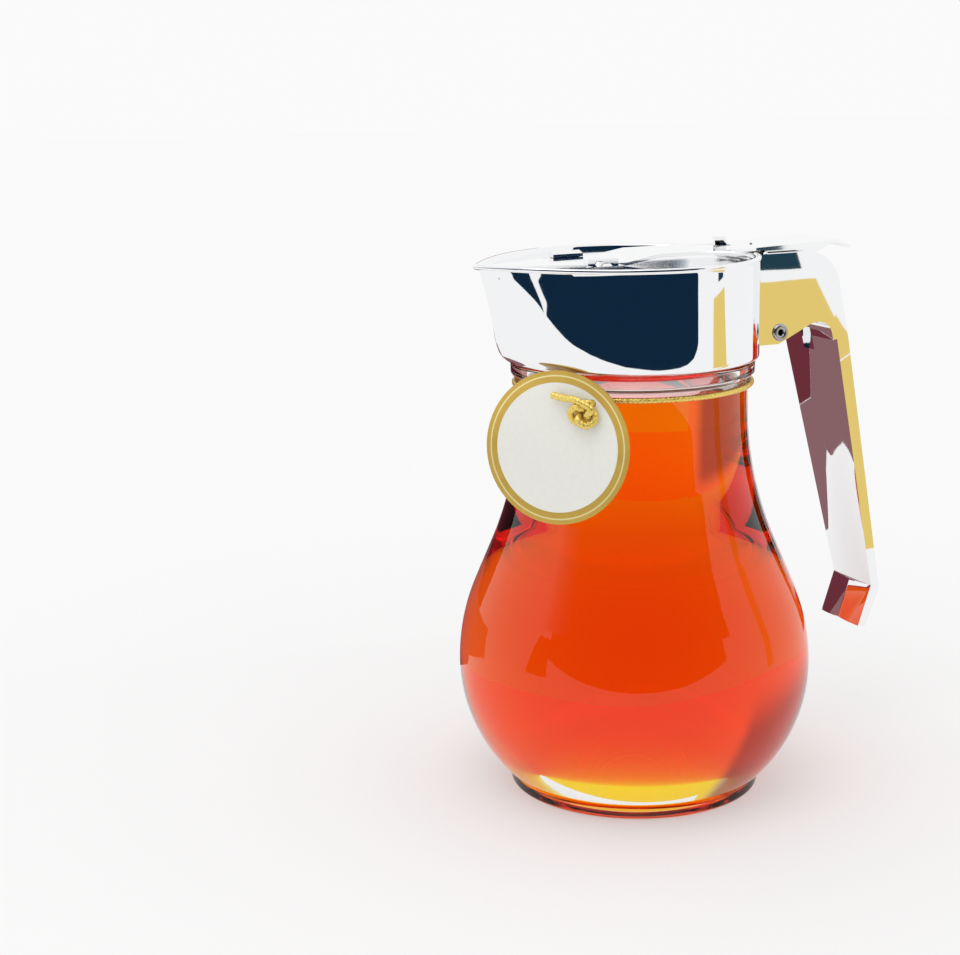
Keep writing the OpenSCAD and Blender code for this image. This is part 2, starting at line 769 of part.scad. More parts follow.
module tag_disc() {
    color("goldenrod")
        on_tag()
            difference() {
                cylinder(d = tag_d, h = tag_t, $fn = 96);
                translate([hole_reach * sin(hole_turn), hole_reach * cos(hole_turn), -1])
                    cylinder(r = hole_r, h = tag_t + 2, $fn = 32);
            }
}

// The cord's free end, from the cord round the neck through the tag's hole and
// knotted before it, on the plane of the tag: across, up and out of the hole's middle
knot_route = [[0, 1.5, -3.6], [0, 0.6, -1.4], [0, 0, 0], [-0.6, 0.1, 1],
    [-3.7, -0.9, 1.2], [-3.7, -2.7, 1.3], [-3.3, -3.6, 2.4], [-3, -4.8, 3.3],
    [-1.3, -5.9, 2.9], [0.5, -4.6, 1.8], [-0.1, -2.6, 1.1], [-1.6, -2.1, 1.6],
    [-2.5, -1.9, 2.8], [-4, -1.7, 3.3], [-5.4, -3.2, 2.6], [-4.5, -5.2, 1.5],
    [-2.4, -5, 1.1], [-1.6, -4, 1.9], [-0.9, -3.3, 3], [-0.1, -1.8, 3.2],
    [-3, 0.9, 3.4], [-6.2, 1.1, 2.4], [-9.6, 1.6, 1.7]];

function knot_point(t) =
    let (last = len(knot_route) - 1,
        i = min(floor(t), last - 1),
        u = t - i,
        p0 = knot_route[max(i - 1, 0)],
        p1 = knot_route[i],
        p2 = knot_route[i + 1],
        p3 = knot_route[min(i + 2, last)])
    0.5 * (2 * p1 + u * (p2 - p0) + u * u * (2 * p0 - 5 * p1 + 4 * p2 - p3)
        + pow(u, 3) * (3 * p1 - p0 - 3 * p2 + p3));

module tag_cord() {
    steps = 3;
    count = (len(knot_route) - 1) * steps;
    color("gold")
        on_tag()
            translate([hole_reach * sin(hole_turn), hole_reach * cos(hole_turn), tag_t])
                tube([for (i = [0:count]) knot_point(i / steps)], knot_d / 2, 8);
}

// ---------------------------------------------------------------- drawing

glass_jar();
honey_fill();
neck_cord();
neck_seal();
threaded_collar();
pour_head();
deck_plate();
left_guide();
right_guide();
guide_rivets();
handle();
handle_screws();
spring_rivet();
rivet_spacers();
return_spring();
slide_plate();
spring_bracket();
bracket_rivet();
tag_disc();
tag_cord();
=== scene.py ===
from math import cos, pi, radians, sin, tan

import bmesh
import bpy
import numpy as np
from mathutils import Matrix, Vector


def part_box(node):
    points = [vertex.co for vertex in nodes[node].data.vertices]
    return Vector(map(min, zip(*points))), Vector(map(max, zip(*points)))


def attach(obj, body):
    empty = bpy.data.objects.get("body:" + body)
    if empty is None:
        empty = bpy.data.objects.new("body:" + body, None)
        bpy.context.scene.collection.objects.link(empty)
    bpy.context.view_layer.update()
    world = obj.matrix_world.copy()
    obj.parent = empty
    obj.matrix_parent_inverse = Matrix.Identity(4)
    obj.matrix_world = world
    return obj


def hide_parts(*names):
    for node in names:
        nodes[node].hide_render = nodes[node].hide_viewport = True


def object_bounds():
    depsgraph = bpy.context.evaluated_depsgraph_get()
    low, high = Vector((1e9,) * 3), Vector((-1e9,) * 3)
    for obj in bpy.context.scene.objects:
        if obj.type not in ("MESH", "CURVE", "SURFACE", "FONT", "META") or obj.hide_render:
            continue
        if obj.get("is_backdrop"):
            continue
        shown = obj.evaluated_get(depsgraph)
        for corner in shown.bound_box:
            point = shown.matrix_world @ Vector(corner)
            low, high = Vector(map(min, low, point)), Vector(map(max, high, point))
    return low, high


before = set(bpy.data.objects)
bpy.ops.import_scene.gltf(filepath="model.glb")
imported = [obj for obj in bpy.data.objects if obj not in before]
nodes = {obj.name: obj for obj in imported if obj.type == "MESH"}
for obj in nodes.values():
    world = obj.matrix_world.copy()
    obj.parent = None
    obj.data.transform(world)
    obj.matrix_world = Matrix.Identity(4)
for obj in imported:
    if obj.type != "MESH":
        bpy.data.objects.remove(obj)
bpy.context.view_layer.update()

mm = 0.001


# The view. The photographer stands before the spout side, a little above the rim,
# and looks slightly down. The jar's axis lies right of the picture's middle.
stand_bearing = radians(-28.3)      # round the jar, from the -Y side towards the spout
stand_distance = 490 * mm
stand_height = 188.8 * mm
look_down = radians(9.12)
look_aside = radians(4.55)
camera_roll = radians(-0.88)

camera = bpy.data.objects.new("camera", bpy.data.cameras.new("camera"))
bpy.context.scene.collection.objects.link(camera)
bpy.context.scene.camera = camera
camera.data.lens = 72.7
camera.data.shift_y = -0.12
camera.data.clip_start = 0.01
towards_camera = Vector((sin(stand_bearing), -cos(stand_bearing), 0))
ahead = Matrix.Rotation(look_aside, 3, "Z") @ -towards_camera
ahead = ahead * cos(look_down) - Vector((0, 0, sin(look_down)))
right = ahead.cross(Vector((0, 0, 1))).normalized()
right = Matrix.Rotation(-camera_roll, 3, ahead) @ right
camera.matrix_world = Matrix.Translation(
    towards_camera * stand_distance + Vector((0, 0, stand_height))
) @ Matrix((right, right.cross(ahead), -ahead)).transposed().to_4x4()


# The gold cord. A soft gift cord of three strands covered with gold foil yarn, tied
# round the neck under the bead. Its free end goes through the tag and is knotted.
neck_r = 29.3 * mm
cord_r = 0.75 * mm
cord_z = 105.2 * mm
strand_pitch = 3.4 * mm     # length in which a strand goes once round the cord
strand_depth = 0.16         # dip between two strands, as a share of the cord's radius


def skin(name, grid, loop=False, caps=False):
    """Mesh over a grid of points, grid[row, place on the row]. Each row closes on
    itself. The last row joins the first if loop, and caps fill the end rows."""
    rows, around = grid.shape[:2]
    row = np.arange(rows if loop else rows - 1)[:, None]
    place = np.arange(around)[None, :]
    beside = (place + 1) % around
    above = (row + 1) % rows
    quads = np.stack([row * around + place, row * around + beside,
                      above * around + beside, above * around + place], -1)
    faces = quads.reshape(-1, 4).tolist()
    if caps:
        faces += [list(range(around)), list(range((rows - 1) * around, rows * around))]
    mesh = bpy.data.meshes.new(name)
    mesh.from_pydata(grid.reshape(-1, 3).tolist(), [], faces)
    work = bmesh.new()
    work.from_mesh(mesh)
    bmesh.ops.remove_doubles(work, verts=work.verts, dist=2e-7)
    bmesh.ops.recalc_face_normals(work, faces=work.faces)
    work.to_mesh(mesh)
    work.free()
    mesh.shade_smooth()
    mesh.set_sharp_from_angle(angle=radians(38))
    piece = bpy.data.objects.new(name, mesh)
    bpy.context.scene.collection.objects.link(piece)
    return piece


def rope(name, path, normals, radius, loop=False):
    """Cord along path. Its outline is a circle with three rounded lobes, the strands,
    which turn once round the cord in each strand_pitch of its length."""
    step = np.roll(path, -1, 0) - path
    run = np.concatenate([[0], np.cumsum(np.linalg.norm(step, axis=1))[:-1]])
    heading = np.roll(path, -1, 0) - np.roll(path, 1, 0)
    if not loop:
        heading[0], heading[-1] = path[1] - path[0], path[-1] - path[-2]
    heading /= np.linalg.norm(heading, axis=1)[:, None]
    sides = np.cross(heading, normals)
    turn = np.linspace(0, 2 * pi, 18, endpoint=False)[None, :]
    strand_turn = turn - 2 * pi * run[:, None] / strand_pitch
    lobe = 1 - strand_depth + strand_depth * np.abs(np.cos(1.5 * strand_turn))
    outwards = (np.cos(turn)[..., None] * normals[:, None]
                + np.sin(turn)[..., None] * sides[:, None])
    return skin(name, path[:, None] + (radius * lobe)[..., None] * outwards,
                loop, caps=not loop)


class Flow:
    """One value on its way through a material's nodes. Arithmetic adds Math nodes."""

    def __init__(self, tree, socket):
        self.tree, self.socket = tree, socket

    def node(self, kind, settings=None, values=None, output=0):
        """A node of that kind. Its settings are made first, then its sockets get
        their values or links."""
        made = self.tree.nodes.new(kind)
        for name, value in (settings or {}).items():
            setattr(made, name, value)
        for key, value in (values or {}).items():
            if isinstance(value, Flow):
                self.tree.links.new(value.socket, made.inputs[key])
            else:
                made.inputs[key].default_value = value
        return Flow(self.tree, made.outputs[output])

    def reckon(self, operation, *values):
        """A Math node of this operation on the values."""
        return self.node("ShaderNodeMath", {"operation": operation},
                         dict(enumerate(values)))

    def __add__(self, other):
        return self.reckon("ADD", self, other)

    def __sub__(self, other):
        return self.reckon("SUBTRACT", self, other)

    def __rsub__(self, other):
        return self.reckon("SUBTRACT", other, self)

    def __mul__(self, other):
        return self.reckon("MULTIPLY", self, other)

    __radd__, __rmul__ = __add__, __mul__

    def __gt__(self, other):
        return self.reckon("GREATER_THAN", self, other)

    def __lt__(self, other):
        return self.reckon("LESS_THAN", self, other)

    def __abs__(self):
        return self.reckon("ABSOLUTE", self)

    def noise(self, scale, detail=3.0):
        """Cloudy noise at this place, with scale features to the metre."""
        return self.node("ShaderNodeTexNoise", None,
                         {"Vector": self, "Scale": scale, "Detail": detail})

    def between(self, low, high):
        """0 where the value is low, 1 where it is high, and smooth between."""
        return self.node("ShaderNodeMapRange", {"interpolation_type": "SMOOTHSTEP"},
                         {"Value": self, "From Min": low, "From Max": high})

    def blend(self, first, second):
        """Colour first where this is 0 and second where it is 1."""
        return self.node("ShaderNodeMix", {"data_type": "RGBA"},
                         {0: self, 6: first, 7: second}, output=2)

    def into(self, surface, name):
        """The value goes into the node's socket of that name."""
        self.tree.links.new(self.socket, surface.inputs[name])

    def bump(self, surface, depth):
        """The value raises the surface by up to depth metres."""
        self.node("ShaderNodeBump", None, {"Strength": 1.0, "Distance": depth,
                                           "Height": self}).into(surface, "Normal")


def finish(name, **constants):
    """A material with one Principled surface. Gives the material, that surface and
    the place on the piece as a flow."""
    made = bpy.data.materials.new(name)
    made.use_nodes = True
    tree = made.node_tree
    surface = tree.nodes["Principled BSDF"]
    for key, value in constants.items():
        surface.inputs[key.replace("_", " ")].default_value = value
    place = tree.nodes.new("ShaderNodeTexCoord").outputs["Object"]
    return made, surface, Flow(tree, place)


def paint(colour):
    """A colour written as 0 to 255 in the usual display values, for a socket."""
    share = np.array(colour) / 255
    linear = np.where(share > 0.04045, ((share + 0.055) / 1.055) ** 2.4, share / 12.92)
    return (*linear.tolist(), 1.0)


gold_foil, surface, place = finish("gold_foil", Metallic=0.82)
# The crinkles that raise the foil also colour it. The paler gold on the raised crinkles is
# partly the yarn's own uneven tone and partly painted highlight.
crinkle_and_glint = place.noise(1900, 4)
crinkle_and_glint.blend(paint((222, 176, 42)), paint((255, 240, 150))).into(surface, "Base Color")
(crinkle_and_glint * 0.3 + 0.15).into(surface, "Roughness")
crinkle_and_glint.bump(surface, 0.16 * mm)

bearing = np.linspace(0, 2 * pi, 1200, endpoint=False)
outwards = np.stack([np.cos(bearing), np.sin(bearing), 0 * bearing], -1)
neck_cord = rope("gold_neck_cord", outwards * (neck_r + cord_r) + [0, 0, cord_z],
                 outwards, cord_r, loop=True)
neck_cord.data.materials.append(gold_foil)
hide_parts("neck_cord")
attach(neck_cord, "jar")

# The tag's plane, on which the cord's free end lies: the tag faces outwards to the
# left of the viewer, leans back against the cap and has its hole up on the right.
tag_turn = radians(221)
tag_lean = radians(84)
tag_t = 0.6
tag_middle = (35.4, -5.9, 94)
hole_turn = radians(38)
hole_reach = 14.2
knot_r = 0.92 * mm
knot_route = [[0, 1.5, -3.6], [0, 0.6, -1.4], [0, 0, 0], [-0.6, 0.1, 1],
              [-2.7, -0.1, 1.2], [-2.7, -1.9, 1.3], [-2.3, -2.8, 2.4], [-2, -4, 3.3],
              [-0.3, -5.1, 2.9], [1.5, -3.8, 1.8], [0.9, -1.8, 1.1], [-0.6, -1.3, 1.6],
              [-1.5, -1.1, 2.8], [-3, -0.9, 3.3], [-4.4, -2.4, 2.6], [-3.5, -4.4, 1.5],
              [-1.4, -4.2, 1.1], [-0.6, -3.2, 1.9], [0.1, -2.5, 3], [0.9, -1, 3.2],
              [-3, 0.9, 3.4], [-6.2, 1.1, 2.4], [-9.6, 1.6, 1.7]]
on_tag = (Matrix.Rotation(tag_turn, 4, "Z") @ Matrix.Translation(tag_middle)
          @ Matrix.Rotation(tag_lean, 4, "Y") @ Matrix.Rotation(pi / 2, 4, "Z"))
hole_middle = np.array([hole_reach * sin(hole_turn), hole_reach * cos(hole_turn), tag_t])


def through(points, steps):
    """Smooth curve through the points: between two of them, the cubic that leaves
    and arrives along the line from its neighbour before to its neighbour after."""
    held = np.concatenate([points[:1], points, points[-1:]])
    before, start, end, after = held[:-3], held[1:-2], held[2:-1], held[3:]
    t = np.linspace(0, 1, steps, endpoint=False)[None, :, None]
    curve = 0.5 * (2 * start[:, None] + t * (end - before)[:, None]
                   + t ** 2 * (2 * before - 5 * start + 4 * end - after)[:, None]
                   + t ** 3 * (3 * start - before - 3 * end + after)[:, None])
    return np.concatenate([curve.reshape(-1, 3), points[-1:]])


def carried(path):
    """Normals along the path that turn with it and never twist about it."""
    heading = np.gradient(path, axis=0)
    heading /= np.linalg.norm(heading, axis=1)[:, None]
    found = [np.cross(heading[0], [0.3, 0.8, 0.5])]
    for ahead_now in heading:
        kept = found[-1] - found[-1].dot(ahead_now) * ahead_now
        found.append(kept / np.linalg.norm(kept))
    return np.array(found[1:])


route = through(np.array(knot_route) + hole_middle, 30)
turned = np.array(on_tag.to_3x3())
route = (route @ turned.T + np.array(on_tag.translation)) * mm
tag_cord = rope("gold_tag_cord", route, carried(route), knot_r)
tag_cord.data.materials.append(gold_foil)
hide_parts("tag_cord")
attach(tag_cord, "tag")


# The tag. A round of coated card with a gold printed border, and in the border a
# thin light line. Its field is bare.
tag_r = 18.65 * mm
border_w = 2.9 * mm
line_from_edge = 1.25 * mm

tag_card, surface, place = finish("tag_card", Roughness=0.42, Specular_IOR_Level=0.5)
low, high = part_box("tag_disc")
from_middle = place.node("ShaderNodeVectorMath", {"operation": "DISTANCE"},
                         {0: place, 1: (low + high) / 2}, output=1)
fibre = place.noise(900, 6)
field = fibre.blend(paint((222, 222, 214)), paint((232, 232, 226)))
print_gold = place.noise(300).blend(paint((196, 160, 66)), paint((212, 178, 84)))
border = from_middle.between(tag_r - border_w - 0.05 * mm, tag_r - border_w + 0.05 * mm)
line = (abs(from_middle - (tag_r - line_from_edge))).between(0.24 * mm, 0.12 * mm)
printed = border.blend(field, print_gold)
line.blend(printed, paint((240, 224, 160))).into(surface, "Base Color")
(border * 0.35).into(surface, "Metallic")
(fibre * 0.4 + border * 0.6).bump(surface, 0.02 * mm)

# Rings as [share of the way from the hole to the edge, height], out over the back,
# round the softened edge and in again over the face. In millimetres.
hole_r = 1.0
rings = np.array([[0.005, 0], [0.3, 0], [0.6, 0], [0.9, 0], [0.993, 0], [0.999, 0.04],
                  [1, 0.12], [1, tag_t - 0.12], [0.999, tag_t - 0.04], [0.993, tag_t],
                  [0.9, tag_t], [0.6, tag_t], [0.3, tag_t], [0.005, tag_t],
                  [0, tag_t - 0.05], [0, 0.05]])
bearing = np.linspace(0, 2 * pi, 240, endpoint=False)
round_once = np.stack([np.cos(bearing), np.sin(bearing), 0 * bearing], -1)
share = rings[:, 0, None, None]
grid = ((1 - share) * (hole_middle * [1, 1, 0] + hole_r * round_once)
        + share * tag_r / mm * round_once + rings[:, 1, None, None] * [0, 0, 1])
tag = skin("swing_tag", (grid @ turned.T + np.array(on_tag.translation)) * mm, loop=True)
tag.data.materials.append(tag_card)
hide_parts("tag_disc")
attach(tag, "tag")


# The jar. Clear pressed glass on a foot ring: a round bulb, a hollow shoulder and a
# straight neck with a bead under the mouth. Turned profile, in millimetres.
bulb_r, bulb_z = 45.3, 32.3
belly_arc, crown_arc = 39.5, 52
flank_lean = radians(23)
glass_wall, glass_floor = 2.6, 11.2
floor_corner = 3.2          # radius inside, where the wall goes over into the floor
foot_r, foot_h, foot_hollow = 32.2, 3.4, 1.6
bead_r, bead_z, bead_h = 31.1, 107.3, 3.8
mouth_r, mouth_z = 28.6, 121.5
neck, neck_z = 29.3, 98.9
flank_r = bulb_r - crown_arc * (1 - cos(flank_lean))
flank_z = bulb_z + crown_arc * sin(flank_lean)
shoulder_arc = ((neck_z - flank_z - (flank_r - neck) / tan(flank_lean))
                / tan(flank_lean / 2))


def arc(middle, radius, start, end, count):
    """Points of the arc round middle from angle start to end, in degrees."""
    turn = np.radians(np.linspace(start, end, count))
    return middle + radius * np.stack([np.cos(turn), np.sin(turn)], -1)


def bulb_side(inset, low):
    """Side of the bulb, flank, shoulder and neck as [radius, height], moved inwards
    by inset: a convex arc from height low, the crown's arc, and a hollow arc."""
    belly = belly_arc - inset
    first = -np.degrees(np.arcsin((bulb_z - low) / belly))
    lean = np.degrees(flank_lean)
    return np.concatenate([
        arc((bulb_r - belly_arc, bulb_z), belly, first, 0, 40),
        arc((bulb_r - crown_arc, bulb_z), crown_arc - inset, 0.6, lean, 26),
        arc((neck + shoulder_arc, neck_z), shoulder_arc + inset, 180 + lean, 180, 36)])


def turned_piece(name, profile, around=256):
    """The closed profile of [radius, height] in millimetres, turned round the axis."""
    bearing = np.linspace(0, 2 * pi, around, endpoint=False)
    radius, height = profile[:, 0, None] * mm, profile[:, 1, None] * mm
    return skin(name, np.stack([radius * np.cos(bearing), radius * np.sin(bearing),
                                height + 0 * bearing], -1))


honey_z = 105.2
groove_r = bulb_r - belly_arc + (belly_arc ** 2 - (bulb_z - foot_h) ** 2) ** 0.5
outside = bulb_side(0, foot_h + 0.9)
inside = bulb_side(glass_wall, glass_floor + 0.6)
corner_middle = np.array([inside[0, 0] - 3.4, glass_floor + floor_corner])
glass = turned_piece("clear_glass_jar", np.concatenate([
    [[0, foot_hollow], [foot_r - 7.6, foot_hollow]],
    arc((foot_r - 6.4, 0.8), 0.8, 180, 270, 6),
    arc((foot_r - 1.0, 1.0), 1.0, -90, 0, 8),
    arc((foot_r - 0.9, foot_h - 0.9), 0.9, 0, 70, 6),
    [[groove_r - 0.55, foot_h + 0.1], [groove_r - 0.1, foot_h + 0.35]],
    outside,
    arc((neck + 0.5, bead_z - 0.7), 0.5, 180, 90, 5),
    arc((bead_r - 1.3, bead_z + 1.1), 1.3, -70, 0, 8),
    arc((bead_r - 1.1, bead_z + bead_h - 1.1), 1.1, 0, 90, 8),
    [[mouth_r + 0.4, bead_z + bead_h], [mouth_r, bead_z + bead_h + 0.4]],
    arc((mouth_r - 1.1, mouth_z - 1.1), 1.1, 0, 180, 16),
    [[neck - glass_wall, honey_z + 0.3], [neck - glass_wall, honey_z + 0.2]],
    inside[::-1],
    arc(corner_middle, floor_corner, -20, -90, 8),
    [[0, glass_floor]]]))

# Where honey wets the glass nothing is seen of the inner face, as both bend light
# alike: those points are marked, and the surface is clear there.
spot = np.empty(len(glass.data.vertices) * 3)
glass.data.vertices.foreach_get("co", spot)
spot = spot.reshape(-1, 3) / mm
shell_r = np.interp(spot[:, 2], outside[:, 1], outside[:, 0])
wet = ((spot[:, 2] > glass_floor - 0.1) & (spot[:, 2] < honey_z + 0.25)
       & (np.hypot(spot[:, 0], spot[:, 1]) < shell_r - glass_wall / 2))
glass.data.attributes.new("wetted", "FLOAT", "POINT").data.foreach_set(
    "value", wet.astype(np.float32))

# The glass is given a little less bending of light than real glass has, for the look
# of the bright foot.
glass_bending = 1.42
clear_glass, surface, place = finish(
    "clear_glass", Base_Color=(1, 1, 1, 1), Roughness=0.0, IOR=glass_bending,
    Transmission_Weight=1.0)
place.noise(46, 2).bump(surface, 0.05 * mm)
wetted = place.node("ShaderNodeAttribute", {"attribute_name": "wetted"}, output=2)
(wetted < 0.5).into(surface, "Alpha")


def steep(material, colour, density):
    """The body of a clear material takes this colour with its depth."""
    tree = material.node_tree
    body = tree.nodes.new("ShaderNodeVolumeAbsorption")
    body.inputs["Color"].default_value = colour
    body.inputs["Density"].default_value = density
    tree.links.new(body.outputs[0], tree.nodes["Material Output"].inputs["Volume"])


steep(clear_glass, (0.92, 0.97, 0.94, 1), 6)
glass.data.materials.append(clear_glass)
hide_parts("glass_jar")
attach(glass, "jar")


# The honey. It wets the glass all over, so its side reaches a hair into the glass,
# and it creeps up the neck in a small meniscus. The deeper it is, the redder. The
# glass round it does the bending of the light for both, and only the top bends it too.
wetting = 0.04      # how far its side reaches into the glass, so that no air shows
honey_bending = 1.49
side = bulb_side(glass_wall - wetting, glass_floor + 0.6)
side = side[side[:, 1] < honey_z - 0.8]
rim_r = side[-1, 0]
honey = turned_piece("honey", np.concatenate([
    [[0, glass_floor - wetting]],
    arc(corner_middle, floor_corner + wetting, -90, -20, 8),
    side,
    [[rim_r, honey_z - 0.2], [rim_r - 0.1, honey_z + 0.3], [rim_r - 0.5, honey_z],
     [rim_r - 1.3, honey_z - 0.35], [rim_r - 3, honey_z - 0.5], [0, honey_z - 0.5]]]))
amber, surface, place = finish(
    "amber_honey", Base_Color=(1, 1, 1, 1), Roughness=0.0, IOR=1.0, Transmission_Weight=1.0)
steep(amber, (0.992, 0.838, 0.0, 1), 220)
side_surface = Flow(place.tree, surface.outputs[0])
top_surface = place.node("ShaderNodeBsdfPrincipled", None, {
    "Base Color": (1, 1, 1, 1), "Roughness": 0.0, "IOR": honey_bending,
    "Transmission Weight": 1.0})
height = place.node("ShaderNodeSeparateXYZ", None, {0: place}, output="Z")
at_top = height > (honey_z - 0.55) * mm
mixed = place.node("ShaderNodeMixShader", None,
                   {0: at_top, 1: side_surface, 2: top_surface})
mixed.into(amber.node_tree.nodes["Material Output"], "Surface")
honey.data.materials.append(amber)
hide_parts("honey_fill")
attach(honey, "jar")


# The pouring head. Pressed and chromed sheet: a round cap at the rear, drawn out at
# the front into a spout whose keel leans out from the skirt up to the rim.
skirt_z, rim_z = 111.4, 137.2
head_r, spout_reach, head_wall = 32.2, 43.8, 1.5
head_h = rim_z - skirt_z
deck_drop, deck_t, ledge_w, ledge_t = 1.4, 1.4, 1.7, 1.2
join_x = -6         # where the spout's sides leave the round rear
rim_join = np.array([join_x, (head_r ** 2 - join_x ** 2) ** 0.5])


def rim_outline(count):
    """The rim from above, as [x, y]: a cubic curve from the spout's tip to where it
    meets the round rear, then a circle, and the same mirrored."""
    back = rim_join - 19 * np.array([rim_join[1], -rim_join[0]]) / head_r
    p = np.array([[-spout_reach, 0], [-spout_reach + 7.3, 11.6], back, rim_join])
    t = np.linspace(0, 1, count, endpoint=False)[:, None]
    front = ((1 - t) ** 3 * p[0] + 3 * t * (1 - t) ** 2 * p[1]
             + 3 * t ** 2 * (1 - t) * p[2] + t ** 3 * p[3])
    turn = np.linspace(np.arctan2(rim_join[1], rim_join[0]), 0, count)
    half = np.concatenate([front, head_r * np.stack([np.cos(turn), np.sin(turn)], -1)])
    return np.concatenate([half, half[-2:0:-1] * [1, -1]])


rim = rim_outline(90)
rim_far = np.linalg.norm(rim, axis=1)
rim_flow = rim / rim_far[:, None]


def head_rings(rows):
    """Rings of the head for rows of [height, share of the spout's reach, inset]."""
    rows = np.array(rows)
    out = head_r + rows[:, 1, None] * (rim_far - head_r) - rows[:, 2, None]
    return np.concatenate([rim_flow * out[..., None],
                           rows[:, 0, None, None] + 0 * out[..., None]], -1) * mm


def keel_share(height):
    """Share of the spout's reach at a height above the skirt: quick at the foot,
    then leaning out evenly."""
    up = np.array([0, 0.8, 2.3, 6, 11, 16, 21, 24.2, head_h])
    share = np.array([0.0, 0.16, 0.36, 0.5, 0.58, 0.67, 0.79, 0.87, 0.93])
    fine = np.linspace(0, head_h, 260)
    smooth = np.convolve(np.pad(np.interp(fine, up, share), 14, mode="edge"),
                         np.ones(29) / 29, "valid")
    smooth[0] = 0
    return np.interp(height, fine, smooth)


# Rows of the outside, of the rolled lip, and of the inside with the ledge on which
# the deck lies.
outer = [[skirt_z + 1 - sin(a), keel_share(0.2), 1 - cos(a)]
         for a in np.radians(np.linspace(90, 0, 8))]
outer += [[skirt_z + h, keel_share(h), 0] for h in np.linspace(1, head_h - 1.3, 44)]
lip = [[rim_z - 1.1, 0.955, -0.04], [rim_z - 0.95, 0.975, -0.18],
       [rim_z - 0.7, 0.99, -0.28], [rim_z - 0.4, 1, -0.3], [rim_z - 0.15, 1, -0.22],
       [rim_z, 1, 0.0], [rim_z, 1, 0.5], [rim_z - 0.05, 1, 1.0],
       [rim_z - 0.25, 1, 1.35], [rim_z - 0.6, 0.99, head_wall]]
deck_low = rim_z - deck_drop - deck_t
inner = [[deck_low, 0.93, head_wall], [deck_low, 0.93, head_wall + ledge_w],
         [deck_low - ledge_t, 0.9, head_wall + ledge_w],
         [deck_low - ledge_t - 1.6, 0.72, head_wall]]
inner += [[skirt_z + h, keel_share(h) - 0.1 * min(1, h / 3), head_wall]
          for h in (18, 14, 11, 8, 6, 4, 2.8)]
inner += [[skirt_z + 1.2, 0, head_wall], [skirt_z + 0.1, 0, head_wall]]
shell = skin("chromed_pour_head", head_rings(outer + lip + inner), loop=True)

mirror_chrome, surface, place = finish(
    "mirror_chrome", Base_Color=(0.93, 0.935, 0.945, 1), Metallic=1.0)
(place.noise(240, 3) * 0.03 + 0.015).into(surface, "Roughness")
(place.noise(60, 2)).bump(surface, 0.03 * mm)
shell.data.materials.append(mirror_chrome)
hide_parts("pour_head")
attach(shell, "head")


# The handle. A chromed casting screwed to the rear of the head: two cheeks, an arm
# with a ridge along its inner face, and a lower end that is kicked inwards.


def softened(name, node, width, angle=25):
    """A copy of a CAD node with its flat faces joined again and its edges rounded."""
    source = nodes[node]
    piece = bpy.data.objects.new(name, source.data.copy())
    bpy.context.scene.collection.objects.link(piece)
    work = bmesh.new()
    work.from_mesh(piece.data)
    bmesh.ops.remove_doubles(work, verts=work.verts, dist=1e-6)
    bmesh.ops.dissolve_limit(work, angle_limit=radians(0.5), verts=work.verts,
                             edges=work.edges)
    work.to_mesh(piece.data)
    work.free()
    piece.data.materials.clear()
    piece.data.shade_smooth()
    piece.data.set_sharp_from_angle(angle=radians(angle))
    edge = piece.modifiers.new("edge", "BEVEL")
    edge.width = width
    edge.segments = 3
    edge.limit_method = "ANGLE"
    edge.angle_limit = radians(angle)
    edge.harden_normals = True
    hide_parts(node)
    return piece


handle = softened("chromed_handle", "handle", 0.6 * mm)
handle.data.materials.append(mirror_chrome)
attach(handle, "head")


# The rivet. A hollow rivet of plated steel goes through both cheeks of the handle, and
# its ends are rolled over outside them.
rivet_x, rivet_z, rivet_half = 36, 116.5, 12.8
roll = arc((1.5, 0), 0.8, 180, 0, 12) * [1, 0.85]
half_rivet = np.concatenate([roll + [0, rivet_half + 0.02], [[1.3, rivet_half]]])
outline = np.concatenate([half_rivet, half_rivet[::-1] * [1, -1]])
bearing = np.linspace(0, 2 * pi, 64, endpoint=False)
reach, along = outline[:, 0, None], outline[:, 1, None]
rivet = skin("hollow_rivet", np.stack(
    [rivet_x + reach * np.cos(bearing), along + 0 * bearing,
     rivet_z + reach * np.sin(bearing)], -1) * mm, loop=True)
plated, surface, place = finish("plated_steel", Base_Color=(0.42, 0.43, 0.45, 1),
                                Metallic=1.0)
(place.noise(1500, 3) * 0.12 + 0.16).into(surface, "Roughness")
rivet.data.materials.append(plated)
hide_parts("spring_rivet")
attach(rivet, "head")


# The slide and its clips. Stamped and polished stainless sheet, with the faint
# streaks of the rolling along it. The deck under it is the same sheet.
polished, surface, place = finish("polished_sheet", Metallic=1.0)
streaks = place.node("ShaderNodeMapping", None, {"Vector": place, "Scale": (0.05, 1, 1)})
grain = streaks.noise(2600, 3)
grain.blend(paint((244, 245, 246)), paint((252, 252, 252))).into(surface, "Base Color")
(grain * 0.05 + 0.05).into(surface, "Roughness")
grain.bump(surface, 0.004 * mm)
for name in ("deck_plate", "left_guide", "right_guide", "guide_rivets",
             "spring_bracket", "bracket_rivet"):
    nodes[name].data.materials.clear()
    nodes[name].data.materials.append(polished)
slide = softened("polished_slide", "slide_plate", 0.12 * mm)
slide.data.materials.append(polished)
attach(slide, "gate")


